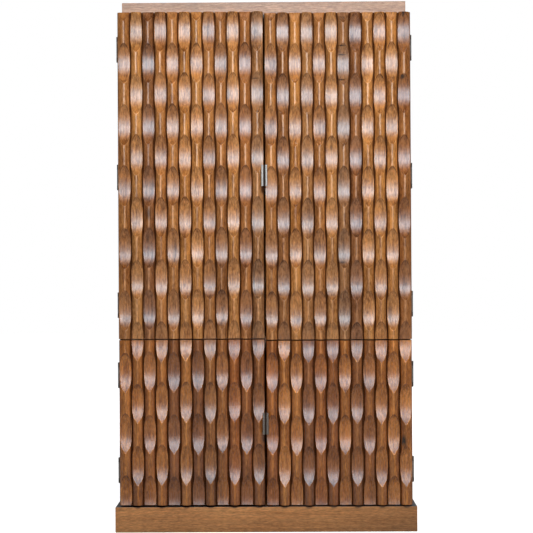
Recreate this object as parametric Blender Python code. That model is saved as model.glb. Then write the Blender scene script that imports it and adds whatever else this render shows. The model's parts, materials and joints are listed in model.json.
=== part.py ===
"""Tall four-door hutch with carved slat doors, in metres, +Z up.

The doors face -Y. The cabinet stands on z = 0 and the origin lies under the middle of its overall box.
Each door turns about the pins of its butt hinges, which stand just outside the case.
"""

import math

import bmesh
import bpy

# Gaps between pieces
FIT = 0.0003
RUNNING_GAP = 0.0004
DOOR_GAP = 0.0035
MEETING_GAP = 0.005

# Case
CASE_WIDTH = 0.984
SIDE_DEPTH = 0.4035
SIDE_THICKNESS = 0.020
MIDDLE_BOARD_THICKNESS = 0.022
SHELF_THICKNESS = 0.018
SHELF_SETBACK = 0.025
HOUSING_DEPTH = 0.006
BACK_THICKNESS = 0.008
BACK_FLOOR_GAP = 0.005
TOP_THICKNESS = 0.042
TOP_SIDE_INSET = 0.0105

# Plinth, whose rails stand round the bottom board
PLINTH_HEIGHT = 0.085
PLINTH_OVERHANG = 0.016
PLINTH_SETBACK = 0.008
PLINTH_THICKNESS = 0.022
BOTTOM_THICKNESS = 0.022

# Doors
LOWER_DOOR_HEIGHT = 0.556
UPPER_DOOR_HEIGHT = 1.102
DOOR_BOARD_THICKNESS = 0.018

# Carved front: roof-shaped slats with scoops cut across their crests
SLATS_PER_DOOR = 12
GROOVE_WIDTH = 0.002
CREST_WIDTH = 0.004
SCOOP_LENGTH = 0.133
SCOOP_DEPTH = 0.013
SCOOP_STEPS = 6
RIDGE_LENGTH = 0.0753
FIRST_SCOOP_HEIGHT = 0.1186
SLOPE_BELOW_SCOOP = 0.0006
SLAT_WALL_HEIGHT = 0.0064
WEB_THICKNESS = 0.003

# Butt hinges
LEAF_THICKNESS = 0.0015
LEAF_WIDTH = 0.017
KNUCKLE_RADIUS = 0.0045
BORE_RADIUS = 0.0027
PIN_RADIUS = 0.0023
PIN_SIDES = 10
PIN_TIP = 0.0008
HINGE_HEIGHT = 0.086
END_KNUCKLE_HEIGHT = 0.016
HINGE_INSET = 0.117
KNUCKLE_STEPS = 12
CURL_SEAM_ANGLE = math.radians(8)

# Edge pulls
PULL_HEIGHT = 0.070
PULL_PROJECTION = 0.012
PULL_LIP_WIDTH = 0.009
PULL_THICKNESS = 0.0017
PULL_SEAT_DEPTH = 0.012
PULL_ROUND = 0.0012
PULL_ROUND_STEPS = 4

# Magnetic catches and their strike plates
STRIKE_WIDTH = 0.022
STRIKE_HEIGHT = 0.012
STRIKE_THICKNESS = 0.0015
STRIKE_INSET = 0.004
CATCH_HEIGHT = 0.014
CATCH_DEPTH = 0.026

# Cutters reach this far past the faces they open
CUT_OVERSHOOT = 0.005

# Depth levels, front to back
SLOPE_DEPTH = SCOOP_DEPTH + SLOPE_BELOW_SCOOP
SLAT_HEIGHT = SLOPE_DEPTH + SLAT_WALL_HEIGHT
FRONT_THICKNESS = SLAT_HEIGHT + WEB_THICKNESS
HINGE_GAP = 2 * LEAF_THICKNESS + 3 * FIT
DOOR_DEPTH = FRONT_THICKNESS + FIT + DOOR_BOARD_THICKNESS
OVERALL_DEPTH = PULL_PROJECTION + DOOR_DEPTH + HINGE_GAP + SIDE_DEPTH + FIT + BACK_THICKNESS
PULL_FRONT_Y = -OVERALL_DEPTH / 2
CREST_Y = PULL_FRONT_Y + PULL_PROJECTION
DOOR_BOARD_Y = CREST_Y + FRONT_THICKNESS + FIT
DOOR_BACK_Y = DOOR_BOARD_Y + DOOR_BOARD_THICKNESS
PIN_Y = DOOR_BACK_Y + HINGE_GAP / 2
CASE_FRONT_Y = DOOR_BACK_Y + HINGE_GAP
CASE_BACK_Y = CASE_FRONT_Y + SIDE_DEPTH
BACK_FACE_Y = OVERALL_DEPTH / 2
PLINTH_FRONT_Y = CREST_Y + PLINTH_SETBACK
CATCH_FRONT_Y = DOOR_BACK_Y + FIT + STRIKE_THICKNESS + FIT

# Heights
LOWER_DOOR_Z = PLINTH_HEIGHT + DOOR_GAP
UPPER_DOOR_Z = LOWER_DOOR_Z + LOWER_DOOR_HEIGHT + DOOR_GAP
CASE_TOP_Z = UPPER_DOOR_Z + UPPER_DOOR_HEIGHT
CASE_FLOOR_Z = PLINTH_HEIGHT + FIT
TOP_BOARD_Z = CASE_TOP_Z + FIT
MIDDLE_BOARD_Z = UPPER_DOOR_Z - DOOR_GAP / 2 - MIDDLE_BOARD_THICKNESS / 2

# Widths, measured from the middle
CASE_HALF = CASE_WIDTH / 2
INNER_HALF = CASE_HALF - SIDE_THICKNESS
HOUSED_HALF = INNER_HALF + HOUSING_DEPTH - FIT
PLINTH_HALF = CASE_HALF + PLINTH_OVERHANG
PLINTH_INNER_HALF = PLINTH_HALF - PLINTH_THICKNESS
PIN_X = CASE_HALF + KNUCKLE_RADIUS
DOOR_WIDTH = CASE_HALF - MEETING_GAP / 2
SLAT_PITCH = DOOR_WIDTH / SLATS_PER_DOOR
SLAT_HALF = (SLAT_PITCH - GROOVE_WIDTH) / 2
SCOOP_SPACING = SCOOP_LENGTH + RIDGE_LENGTH

# Side of the cabinet as seen from the front: -1 is left, 1 is right
SIDES = {"left": -1, "right": 1}
DOOR_ROWS = {
    "lower": (LOWER_DOOR_Z, LOWER_DOOR_HEIGHT, ("bottom", "top")),
    "upper": (UPPER_DOOR_Z, UPPER_DOOR_HEIGHT, ("bottom", "middle", "top")),
}


def clear_scene():
    for obj in list(bpy.data.objects):
        bpy.data.objects.remove(obj, do_unlink=True)


def make_material(name, colour, roughness, metallic=0.0):
    material = bpy.data.materials.new(name)
    material.use_nodes = True
    shader = material.node_tree.nodes["Principled BSDF"]
    shader.inputs["Base Color"].default_value = (*colour, 1.0)
    shader.inputs["Roughness"].default_value = roughness
    shader.inputs["Metallic"].default_value = metallic
    material.diffuse_color = (*colour, 1.0)
    return material


def make_materials():
    return {
        "carved_wood": make_material("carved_wood", (0.31, 0.15, 0.055), 0.38),
        "case_wood": make_material("case_wood", (0.27, 0.13, 0.05), 0.45),
        "plinth_wood": make_material("plinth_wood", (0.25, 0.12, 0.045), 0.42),
        "inner_wood": make_material("inner_wood", (0.24, 0.12, 0.05), 0.6),
        "hinge_metal": make_material("hinge_metal", (0.09, 0.075, 0.06), 0.4, 1.0),
        "pull_metal": make_material("pull_metal", (0.33, 0.31, 0.29), 0.32, 1.0),
        "strike_steel": make_material("strike_steel", (0.5, 0.5, 0.5), 0.35, 1.0),
        "catch_plastic": make_material("catch_plastic", (0.05, 0.03, 0.02), 0.5),
    }


def add_empty(name, location, parent=None):
    empty = bpy.data.objects.new(name, None)
    empty.location = location
    empty.parent = parent
    bpy.context.scene.collection.objects.link(empty)
    return empty


def add_object(name, mesh, material, location, parent):
    """Puts a mesh at a world location under a parent that has no rotation."""
    obj = bpy.data.objects.new(name, mesh)
    obj.parent = parent
    holder = parent
    offset = list(location)
    while holder:
        offset = [value - moved for value, moved in zip(offset, holder.location)]
        holder = holder.parent
    obj.location = offset
    bpy.context.scene.collection.objects.link(obj)
    if not mesh.materials:
        mesh.materials.append(material)
    return obj


def box_mesh(name, low, high):
    """A box between two corners, with its origin at its own middle."""
    mesh = bpy.data.meshes.new(name)
    bm = bmesh.new()
    bmesh.ops.create_cube(bm, size=1.0)
    bmesh.ops.scale(bm, vec=[b - a for a, b in zip(low, high)], verts=bm.verts)
    bm.to_mesh(mesh)
    bm.free()
    return mesh


def add_board(name, low, high, material, parent):
    middle = [(a + b) / 2 for a, b in zip(low, high)]
    return add_object(name, box_mesh(name, low, high), material, middle, parent)


def cut_box(obj, low, high):
    """Takes a box out of a board. The cutter stays in the file as a hidden wire helper."""
    name = f"{obj.name}_cutter_{len(obj.modifiers)}"
    middle = [(a + b) / 2 for a, b in zip(low, high)]
    cutter = bpy.data.objects.new(name, box_mesh(name, low, high))
    cutter.location = middle
    cutter.hide_render = True
    cutter.display_type = "WIRE"
    bpy.context.scene.collection.objects.link(cutter)
    modifier = obj.modifiers.new("housing", "BOOLEAN")
    modifier.operation = "DIFFERENCE"
    modifier.solver = "EXACT"
    modifier.object = cutter


def arc_points(radius, start, end, steps, centre=(0.0, 0.0)):
    points = []
    for step in range(steps + 1):
        angle = start + (end - start) * step / steps
        points.append((centre[0] + radius * math.cos(angle), centre[1] + radius * math.sin(angle)))
    return points


def prism_mesh(name, cells):
    """Joins upright prisms, each an outline with a low and a high level, into one skin.

    An outline runs anticlockwise seen from above. A face that two prisms share is left out of the skin.
    """
    corners = {}
    skin = {}
    for outline, low, high in cells:
        floor = []
        ceiling = []
        for x, y in outline:
            floor.append(corners.setdefault((round(x, 7), round(y, 7), round(low, 7)), len(corners)))
            ceiling.append(corners.setdefault((round(x, 7), round(y, 7), round(high, 7)), len(corners)))
        faces = [floor[::-1], ceiling]
        for here in range(len(outline)):
            after = (here + 1) % len(outline)
            faces.append([floor[here], floor[after], ceiling[after], ceiling[here]])
        for face in faces:
            shared = skin.pop(frozenset(face), None)
            if shared is None:
                skin[frozenset(face)] = face
    mesh = bpy.data.meshes.new(name)
    mesh.from_pydata(list(corners), [], list(skin.values()))
    return mesh


def shade_round(mesh):
    mesh.shade_smooth()
    mesh.set_sharp_from_angle(angle=math.radians(40))


def mirrored_outline(outline):
    return [(-x, y) for x, y in reversed(outline)]


# Case and plinth
def shelf_levels():
    """Undersides of the shelves, evenly spaced in their compartments."""
    upper_floor = MIDDLE_BOARD_Z + MIDDLE_BOARD_THICKNESS
    upper_gap = (TOP_BOARD_Z - upper_floor - 2 * SHELF_THICKNESS) / 3
    lower_gap = (MIDDLE_BOARD_Z - PLINTH_HEIGHT - SHELF_THICKNESS) / 2
    return {
        "lower_shelf": PLINTH_HEIGHT + lower_gap,
        "upper_shelf_low": upper_floor + upper_gap,
        "upper_shelf_high": upper_floor + 2 * upper_gap + SHELF_THICKNESS,
    }


def add_side_panels(materials, root):
    housings = [(MIDDLE_BOARD_Z, MIDDLE_BOARD_THICKNESS, CASE_FRONT_Y - CUT_OVERSHOOT)]
    for level in shelf_levels().values():
        housings.append((level, SHELF_THICKNESS, CASE_FRONT_Y + SHELF_SETBACK - FIT))
    for side, sign in SIDES.items():
        across = sorted((sign * CASE_HALF, sign * INNER_HALF))
        low = (across[0], CASE_FRONT_Y, CASE_FLOOR_Z)
        high = (across[1], CASE_BACK_Y, CASE_TOP_Z)
        panel = add_board(f"side_panel_{side}", low, high, materials["case_wood"], root)
        groove = sorted((sign * (INNER_HALF - CUT_OVERSHOOT), sign * (INNER_HALF + HOUSING_DEPTH)))
        for level, thickness, front in housings:
            cut_low = (groove[0], front, level - FIT)
            cut_high = (groove[1], CASE_BACK_Y + CUT_OVERSHOOT, level + thickness + FIT)
            cut_box(panel, cut_low, cut_high)


def add_case_boards(materials, root):
    middle_top = MIDDLE_BOARD_Z + MIDDLE_BOARD_THICKNESS
    add_board(
        "middle_board",
        (-HOUSED_HALF, CASE_FRONT_Y, MIDDLE_BOARD_Z),
        (HOUSED_HALF, CASE_BACK_Y, middle_top),
        materials["case_wood"],
        root,
    )
    for name, level in shelf_levels().items():
        add_board(
            name,
            (-HOUSED_HALF, CASE_FRONT_Y + SHELF_SETBACK, level),
            (HOUSED_HALF, CASE_BACK_Y, level + SHELF_THICKNESS),
            materials["inner_wood"],
            root,
        )
    add_board(
        "top_board",
        (TOP_SIDE_INSET - CASE_HALF, CASE_FRONT_Y, TOP_BOARD_Z),
        (CASE_HALF - TOP_SIDE_INSET, BACK_FACE_Y, TOP_BOARD_Z + TOP_THICKNESS),
        materials["case_wood"],
        root,
    )
    back_half = PLINTH_INNER_HALF - FIT
    add_board(
        "back_panel",
        (-back_half, CASE_BACK_Y + FIT, BACK_FLOOR_GAP),
        (back_half, BACK_FACE_Y, CASE_TOP_Z),
        materials["inner_wood"],
        root,
    )


def add_plinth(materials, root):
    rail_back_y = PLINTH_FRONT_Y + PLINTH_THICKNESS
    add_board(
        "plinth_front_rail",
        (-PLINTH_HALF, PLINTH_FRONT_Y, 0.0),
        (PLINTH_HALF, rail_back_y, PLINTH_HEIGHT),
        materials["plinth_wood"],
        root,
    )
    for side, sign in SIDES.items():
        across = sorted((sign * PLINTH_INNER_HALF, sign * PLINTH_HALF))
        add_board(
            f"plinth_{side}_rail",
            (across[0], rail_back_y + FIT, 0.0),
            (across[1], BACK_FACE_Y, PLINTH_HEIGHT),
            materials["plinth_wood"],
            root,
        )
    bottom_half = PLINTH_INNER_HALF - FIT
    add_board(
        "bottom_board",
        (-bottom_half, rail_back_y + FIT, PLINTH_HEIGHT - BOTTOM_THICKNESS),
        (bottom_half, CASE_BACK_Y, PLINTH_HEIGHT),
        materials["case_wood"],
        root,
    )


# Carved fronts
def scoop_cut(height):
    """Depth of the scoop's round floor at a distance up or down from its middle."""
    half = SCOOP_LENGTH / 2
    radius = (half * half + SCOOP_DEPTH * SCOOP_DEPTH) / (2 * SCOOP_DEPTH)
    return max(0.0, SCOOP_DEPTH - radius + math.sqrt(radius * radius - height * height))


def slat_stations(low, high, scoop_middle):
    """(height, depth) along one slat's crest, from its bottom end to its top end."""
    half = SCOOP_LENGTH / 2
    first = math.floor((low - scoop_middle - half) / SCOOP_SPACING)
    last = math.ceil((high - scoop_middle + half) / SCOOP_SPACING)
    depths = {low: 0.0, high: 0.0}
    for index in range(first, last + 1):
        middle = scoop_middle + index * SCOOP_SPACING
        for step in range(SCOOP_STEPS + 1):
            level = middle - half + SCOOP_LENGTH * step / SCOOP_STEPS
            if low < level < high:
                depths[level] = scoop_cut(level - middle)
        for end in (low, high):
            if abs(end - middle) < half:
                depths[end] = scoop_cut(end - middle)
    return sorted(depths.items())


def half_width_at(depth):
    return CREST_WIDTH / 2 + (SLAT_HALF - CREST_WIDTH / 2) * depth / SLOPE_DEPTH


def carved_front_mesh(name, first_slat, low, high):
    """Twelve carved slats on a thin web, from x = 0, with the crests at y = 0 and its foot at z = 0."""
    bm = bmesh.new()

    def corner(x, y, z):
        return bm.verts.new((x, y, z - low))

    foot = [corner(0.0, SLAT_HEIGHT, low)]
    head = [corner(0.0, SLAT_HEIGHT, high)]
    for slat in range(SLATS_PER_DOOR):
        centre = (slat + 0.5) * SLAT_PITCH
        shift = SCOOP_SPACING / 2 if (first_slat + slat) % 2 else 0.0
        stations = slat_stations(low, high, FIRST_SCOOP_HEIGHT + shift)
        edges = {}
        for sign in (-1, 1):
            edges[sign] = [corner(centre + sign * half_width_at(depth), depth, z) for z, depth in stations]
        rims = {sign: [corner(centre + sign * SLAT_HALF, SLOPE_DEPTH, z) for z in (low, high)] for sign in (-1, 1)}
        feet = {sign: [corner(centre + sign * SLAT_HALF, SLAT_HEIGHT, z) for z in (low, high)] for sign in (-1, 1)}
        bm.faces.new((foot[-1], feet[-1][0], feet[-1][1], head[-1]))
        for sign in (-1, 1):
            bm.faces.new((feet[sign][0], rims[sign][0], rims[sign][1], feet[sign][1]))
            bm.faces.new((rims[sign][0], *edges[sign], rims[sign][1]))
        for here in range(len(stations) - 1):
            after = here + 1
            bm.faces.new((edges[-1][here], edges[1][here], edges[1][after], edges[-1][after]))
        for ends, level in ((foot, 0), (head, -1)):
            ends += [feet[-1][level], rims[-1][level], edges[-1][level]]
            ends += [edges[1][level], rims[1][level], feet[1][level]]
    edge_foot = corner(DOOR_WIDTH, SLAT_HEIGHT, low)
    edge_head = corner(DOOR_WIDTH, SLAT_HEIGHT, high)
    bm.faces.new((foot[-1], edge_foot, edge_head, head[-1]))
    back_foot = [corner(DOOR_WIDTH, FRONT_THICKNESS, low), corner(0.0, FRONT_THICKNESS, low)]
    back_head = [corner(DOOR_WIDTH, FRONT_THICKNESS, high), corner(0.0, FRONT_THICKNESS, high)]
    bm.faces.new((*foot, edge_foot, *back_foot))
    bm.faces.new((*head, edge_head, *back_head))
    bm.faces.new((*back_foot, *reversed(back_head)))
    bm.faces.new((edge_foot, back_foot[0], back_head[0], edge_head))
    bm.faces.new((foot[0], back_foot[1], back_head[1], head[0]))
    bmesh.ops.recalc_face_normals(bm, faces=bm.faces)
    mesh = bpy.data.meshes.new(name)
    bm.to_mesh(mesh)
    bm.free()
    return mesh


# Doors
def pull_outline():
    """Plan of the left door's pull: a leg on the meeting edge and a lip folded over the front."""
    outer_x = -MEETING_GAP / 2 + FIT + PULL_THICKNESS
    seat_x = outer_x - PULL_THICKNESS
    lip_x = outer_x - PULL_LIP_WIDTH
    leg_back_y = DOOR_BOARD_Y + PULL_SEAT_DEPTH
    lip_back_y = PULL_FRONT_Y + PULL_THICKNESS
    round_centre = (outer_x - PULL_ROUND, PULL_FRONT_Y + PULL_ROUND)
    outline = [(outer_x, leg_back_y), (seat_x, leg_back_y), (seat_x, lip_back_y), (lip_x, lip_back_y)]
    outline.append((lip_x, PULL_FRONT_Y))
    outline += arc_points(PULL_ROUND, -math.pi / 2, 0.0, PULL_ROUND_STEPS, round_centre)
    return outline


def strike_span(sign):
    inner = MEETING_GAP / 2 + STRIKE_INSET
    return sorted((sign * inner, sign * (inner + STRIKE_WIDTH)))


def catch_levels():
    """Undersides of the catches, which hang from the middle board and from the top board."""
    return {
        "lower": MIDDLE_BOARD_Z - FIT - CATCH_HEIGHT,
        "upper": TOP_BOARD_Z - FIT - CATCH_HEIGHT,
    }


def add_door(row, side, materials, axis):
    sign = SIDES[side]
    low, height, _ = DOOR_ROWS[row]
    prefix = f"{row}_{side}"
    across = sorted((sign * CASE_HALF, sign * MEETING_GAP / 2))
    add_board(
        f"{prefix}_door_board",
        (across[0], DOOR_BOARD_Y, low),
        (across[1], DOOR_BACK_Y, low + height),
        materials["case_wood"],
        axis,
    )
    first_slat = 0 if side == "left" else SLATS_PER_DOOR
    front = carved_front_mesh(f"{prefix}_carved_front", first_slat, low, low + height)
    add_object(f"{prefix}_carved_front", front, materials["carved_wood"], (across[0], CREST_Y, low), axis)
    outline = pull_outline() if side == "left" else mirrored_outline(pull_outline())
    pull = prism_mesh(f"{prefix}_pull", [(outline, 0.0, PULL_HEIGHT)])
    shade_round(pull)
    pull_z = low + (height - PULL_HEIGHT) / 2
    add_object(f"{prefix}_pull", pull, materials["pull_metal"], (0.0, 0.0, pull_z), axis)
    strike = strike_span(sign)
    strike_z = catch_levels()[row] + (CATCH_HEIGHT - STRIKE_HEIGHT) / 2
    add_board(
        f"{prefix}_strike_plate",
        (strike[0], DOOR_BACK_Y + FIT, strike_z),
        (strike[1], DOOR_BACK_Y + FIT + STRIKE_THICKNESS, strike_z + STRIKE_HEIGHT),
        materials["strike_steel"],
        axis,
    )


def add_catches(materials, root):
    half = MEETING_GAP / 2 + STRIKE_INSET + STRIKE_WIDTH
    for row, level in catch_levels().items():
        add_board(
            f"{row}_magnetic_catch",
            (-half, CATCH_FRONT_Y, level),
            (half, CATCH_FRONT_Y + CATCH_DEPTH, level + CATCH_HEIGHT),
            materials["catch_plastic"],
            root,
        )


# Hinges
def leaf_mesh(name, knuckle_spans, leaf_sign):
    """A hinge leaf curled round the pin over the given spans.

    The pin stands on x = 0, y = 0. The plate runs towards +X, on the +Y side for leaf_sign 1.
    """
    near = FIT / 2
    far = near + LEAF_THICKNESS
    plate_x = KNUCKLE_RADIUS + RUNNING_GAP
    seam = 2 * math.pi - CURL_SEAM_ANGLE
    curl = arc_points(KNUCKLE_RADIUS, math.asin(far / KNUCKLE_RADIUS), seam, KNUCKLE_STEPS)
    curl += arc_points(BORE_RADIUS, seam, math.asin(near / BORE_RADIUS), KNUCKLE_STEPS)
    curl += [(plate_x, near), (plate_x, far)]
    plate_end = KNUCKLE_RADIUS + LEAF_WIDTH
    plate = [(plate_x, near), (plate_end, near), (plate_end, far), (plate_x, far)]
    if leaf_sign < 0:
        curl = [(x, -y) for x, y in reversed(curl)]
        plate = [(x, -y) for x, y in reversed(plate)]
    half = HINGE_HEIGHT / 2
    levels = sorted({-half, half, *(level for span in knuckle_spans for level in span)})
    cells = [(plate, low, high) for low, high in zip(levels, levels[1:])]
    cells += [(curl, low, high) for low, high in knuckle_spans]
    mesh = prism_mesh(name, cells)
    shade_round(mesh)
    return mesh


def pin_mesh():
    mesh = bpy.data.meshes.new("hinge_pin")
    bm = bmesh.new()
    bmesh.ops.create_cone(
        bm,
        cap_ends=True,
        segments=PIN_SIDES,
        radius1=PIN_RADIUS,
        radius2=PIN_RADIUS,
        depth=HINGE_HEIGHT + 2 * PIN_TIP,
    )
    bm.to_mesh(mesh)
    bm.free()
    shade_round(mesh)
    return mesh


def hinge_meshes():
    half = HINGE_HEIGHT / 2
    end = half - END_KNUCKLE_HEIGHT
    return {
        "frame_leaf": leaf_mesh("hinge_frame_leaf", [(-half, -end), (end, half)], 1),
        "door_leaf": leaf_mesh("hinge_door_leaf", [(RUNNING_GAP - end, end - RUNNING_GAP)], -1),
        "pin": pin_mesh(),
    }


def add_hinges(row, side, meshes, materials, root, axis):
    """Butt hinges have no hand: those on the right are turned over about Y."""
    sign = SIDES[side]
    low, height, places = DOOR_ROWS[row]
    span = height - 2 * HINGE_INSET
    for index, place in enumerate(places):
        level = low + HINGE_INSET + span * index / (len(places) - 1)
        for piece, mesh in meshes.items():
            holder = axis if piece == "door_leaf" else root
            name = f"{row}_{side}_hinge_{place}_{piece}"
            obj = add_object(name, mesh, materials["hinge_metal"], (sign * PIN_X, PIN_Y, level), holder)
            if sign > 0:
                obj.rotation_euler = (0.0, math.pi, 0.0)


def main():
    clear_scene()
    materials = make_materials()
    root = add_empty("hutch", (0.0, 0.0, 0.0))
    add_plinth(materials, root)
    add_side_panels(materials, root)
    add_case_boards(materials, root)
    add_catches(materials, root)
    meshes = hinge_meshes()
    for row, (low, _, _) in DOOR_ROWS.items():
        for side, sign in SIDES.items():
            axis = add_empty(f"{row}_{side}_door_axis", (sign * PIN_X, PIN_Y, low), root)
            add_door(row, side, materials, axis)
            add_hinges(row, side, meshes, materials, root, axis)


main()
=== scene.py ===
"""Looks of the carved four-door hutch: slats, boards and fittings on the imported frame, lamps and camera."""

import json
import math
import random

import bmesh
import bpy
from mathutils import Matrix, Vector

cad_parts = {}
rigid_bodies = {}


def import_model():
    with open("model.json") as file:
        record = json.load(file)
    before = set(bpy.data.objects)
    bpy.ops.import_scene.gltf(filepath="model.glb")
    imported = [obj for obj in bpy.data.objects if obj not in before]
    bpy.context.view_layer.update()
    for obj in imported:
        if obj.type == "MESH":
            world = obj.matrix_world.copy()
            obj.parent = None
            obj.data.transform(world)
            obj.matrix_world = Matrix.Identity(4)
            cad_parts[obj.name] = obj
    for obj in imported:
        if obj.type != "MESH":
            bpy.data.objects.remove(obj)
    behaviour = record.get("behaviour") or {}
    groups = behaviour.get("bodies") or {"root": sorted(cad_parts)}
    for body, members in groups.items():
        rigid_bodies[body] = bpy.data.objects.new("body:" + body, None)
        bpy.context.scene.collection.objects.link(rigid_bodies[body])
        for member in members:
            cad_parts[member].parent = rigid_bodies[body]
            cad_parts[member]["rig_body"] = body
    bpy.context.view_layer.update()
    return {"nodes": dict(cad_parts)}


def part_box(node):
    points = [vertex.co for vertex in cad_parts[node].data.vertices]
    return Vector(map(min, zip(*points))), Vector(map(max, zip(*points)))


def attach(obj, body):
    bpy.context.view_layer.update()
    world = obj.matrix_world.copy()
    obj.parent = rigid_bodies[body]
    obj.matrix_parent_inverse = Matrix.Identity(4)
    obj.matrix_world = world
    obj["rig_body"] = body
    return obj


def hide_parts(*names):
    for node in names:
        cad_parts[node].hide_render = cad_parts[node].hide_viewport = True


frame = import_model()

DOOR_ROWS = ("lower", "upper")
SIDES = {"left": -1, "right": 1}

# Carved slats. A slat is a roof-shaped ridge with scoops cut across its crest, and it swells at the scoops
SLATS_PER_DOOR = 12
SLAT_THICKNESS = 0.020
SLAT_PLAY = 0.0002
CREST_HALF = 0.0029
LENS_HALF = 0.0198
LENS_FULLNESS = 1.8
RIDGE_HALF = 0.0174
WALL_MARGIN = 0.0005
WALL_BLEND = 0.0008
EDGE_ROUND = 0.0004
EDGE_REACH = {"lower": 0.0014, "upper": 0.0026}
END_CHAMFER = 0.0006
GROOVE_SCORE = 0.0008
GROOVE_SCORE_HALF = 0.0015
SLAT_SMOOTH_ANGLE = 34.0

# Scoops, which run to a point at their lower tips on the lower doors
SCOOP_LENGTH = 0.133
ARCH_EXTRA = 0.0035
SCOOP_DEPTH = 0.013
SCOOP_SPACING = 0.2083
FIRST_SCOOP_HEIGHT = 0.1186
SWEEP_DOWN = {"lower": 1.80, "upper": 2.30}
SWEEP_UP = 2.4
TIP_NARROW = {"lower": 0.2, "upper": 1.0}
TIP_LENGTH = 0.018
TIP_POWER = 0.6
SCOOP_STATIONS = 18
RIDGE_STEP = 0.015
TIP_STEP = 0.0007

# How the doors hang: rise of the slats, of the lower slats' low ends, and of the scoops along the slats
HANG = {"left": 0.0032, "right": -0.0014}
FOOT_HANG = {"left": 0.0032, "right": 0.0016}
PATTERN_LIFT = {"left": 0.0008, "right": -0.0006}

# The shoulder between groove and roof, from the groove up, as (way in, way down, sheen).
# The ways are in widths of the shoulder
GROOVE_SHEEN = 0.15
SHOULDER_POINTS = ((0.0, 2.0, GROOVE_SHEEN), (0.16, 1.1, 0.4), (0.50, 0.45, 0.7), (1.0, 0.0, 1.0))
SHOULDER_ROUND = 0.0034
SHOULDER_DROP = 0.0002
ROOF_SHARES = (0.33, 0.67)
ROOF_DROP = 0.0001
LEAST_ROOF = 0.0001

# Painted light and shade on the slats, as factors on the colour of the wood. Painted shade darkens each
# ridge's shoulder down into its groove, the slat ends, and the arch, foot and outline of each scoop; painted
# highlights make crests and rims paler, and the upper half of each scoop is painted lighter.
# A ridge's painted shade is listed from the bottom of the groove up to the edge of the crest
RIDGE_PAINTED_LIGHT = {
    "lower": (0.26, 0.26, 0.36, 0.57, 0.76, 0.93, 1.00, 1.00),
    "upper": (0.48, 0.50, 0.66, 0.87, 0.99, 1.06, 1.10, 1.10),
}
# Powers on red, green and blue of the painted light and shade factor: painted shade grows redder as it
# darkens
PAINTED_LIGHT_POWERS = (1.0, 1.28, 1.70)
# Painted shade under the arch at the top of each scoop, which faces down, and at its foot below the crest
PAINTED_SHADE_STRENGTH = 0.70
ARCH_PAINTED_SHADE_LENGTH = 0.018
ARCH_PAINTED_SHADE_LEAST = 0.10
ARCH_PAINTED_SHADE_SPREAD = 0.90
FOOT_PAINTED_SHADE_LENGTH = 0.024
FOOT_PAINTED_SHADE_LEAST = 0.15
FOOT_PAINTED_SHADE_SPREAD = 0.75
# Painted light: the upper half of each scoop, which faces down, is painted lighter
SCOOP_PAINTED_LIFT = {"lower": 0.34, "upper": 0.42}
# Painted shade on the chamfered slat ends
END_PAINTED_SHADE = 0.15
# Painted highlight on the crests: paler, and with less of the slat's tone within this half width
CREST_HIGHLIGHT_WASHOUT = {"lower": 0.15, "upper": 0.55}
WASHOUT_HALF = 1.2 * CREST_HALF
CREST_PAINTED_HIGHLIGHT = {"lower": 1.20, "upper": 1.28}
CREST_HIGHLIGHT_DEPTH = 0.0015
CREST_SHEEN = {"lower": 0.55, "upper": 0.42}
# Painted light on the flats of the scoops, one factor per row
SCOOP_PAINTED_LIGHT = {"lower": 1.00, "upper": 0.92}
SCOOP_SHEEN = {"lower": 0.87, "upper": 0.80}
# Painted shade: the lower doors' slats are coloured darker and warmer than the upper doors' slats of the same
# wood
ROW_PAINTED_SHADE = {"lower": (0.885, 0.705, 0.435), "upper": (0.99, 0.94, 0.82)}

# Painted shade in a dark outline round the ends of a scoop, and a painted highlight on the rim beside it.
# The last two are what the rim's painted highlight adds to (colour factor, sheen) on the edge of the flat and
# beside it
LINE_WIDTH = 0.0030
LINE_MOST_SHARE = 0.4
LINE_LENGTH = 0.030
LINE_GAIN = 1.5
LINE_STRENGTH = 0.80
LINE_ON_ROOF = 0.3
RIM_WIDTH = 0.0011
RIM_MOST_SHARE = 0.15
RIM_LENGTH = {"lower": 0.036, "upper": 0.022}
RIM_PAINTED_HIGHLIGHT = {"lower": (0.90, 2.40), "upper": (0.30, 1.20)}
ARCH_RIM = 0.3
EDGE_RIM = (0.5, 0.6)
BESIDE_RIM = (0.2, 0.3)

# Painted light and shade on the slats along their height, as pairs of height and factor
PAINTED_LIGHT_LEVELS = ((0.0, 0.75), (0.30, 1.0), (0.90, 1.0), (1.20, 1.08), (1.45, 0.97), (1.80, 0.84))

# How far the hand work strays from slat to slat and from scoop to scoop
SEEDS_PER_ROW = 100
SCOOP_SHIFT_SPREAD = 0.0025
SCOOP_LENGTH_SPREAD = 0.035
SCOOP_DEPTH_SPREAD = 0.05
CREST_WANDER = 0.0005
CREST_WANDER_LENGTH = 0.43

# Stain tones of the slats, as factors on the colour of the wood
TONES = {
    "honey": (1.00, 1.00, 1.00),
    "golden": (1.18, 1.20, 1.10),
    "pale": (1.15, 1.23, 1.25),
    "amber": (1.02, 0.93, 0.82),
    "toasted": (0.88, 0.87, 0.90),
    "dun": (0.93, 1.00, 1.15),
    "russet": (0.80, 0.74, 0.72),
    "walnut": (0.79, 0.79, 0.87),
    "umber": (0.67, 0.65, 0.78),
    "ash": (0.84, 0.93, 1.16),
    "driftwood": (0.70, 0.77, 1.00),
    "straw": (1.28, 1.34, 1.30),
}
TONE_SPREAD = 0.04
SLAT_TONES = {
    "upper_left": "honey pale umber honey honey golden straw honey toasted straw russet ash",
    "upper_right": "honey walnut golden dun honey pale driftwood umber straw golden golden russet",
    "lower_left": "straw golden honey golden umber pale umber dun honey amber russet walnut",
    "lower_right": "amber straw golden umber amber russet golden walnut toasted golden straw straw",
}


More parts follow.
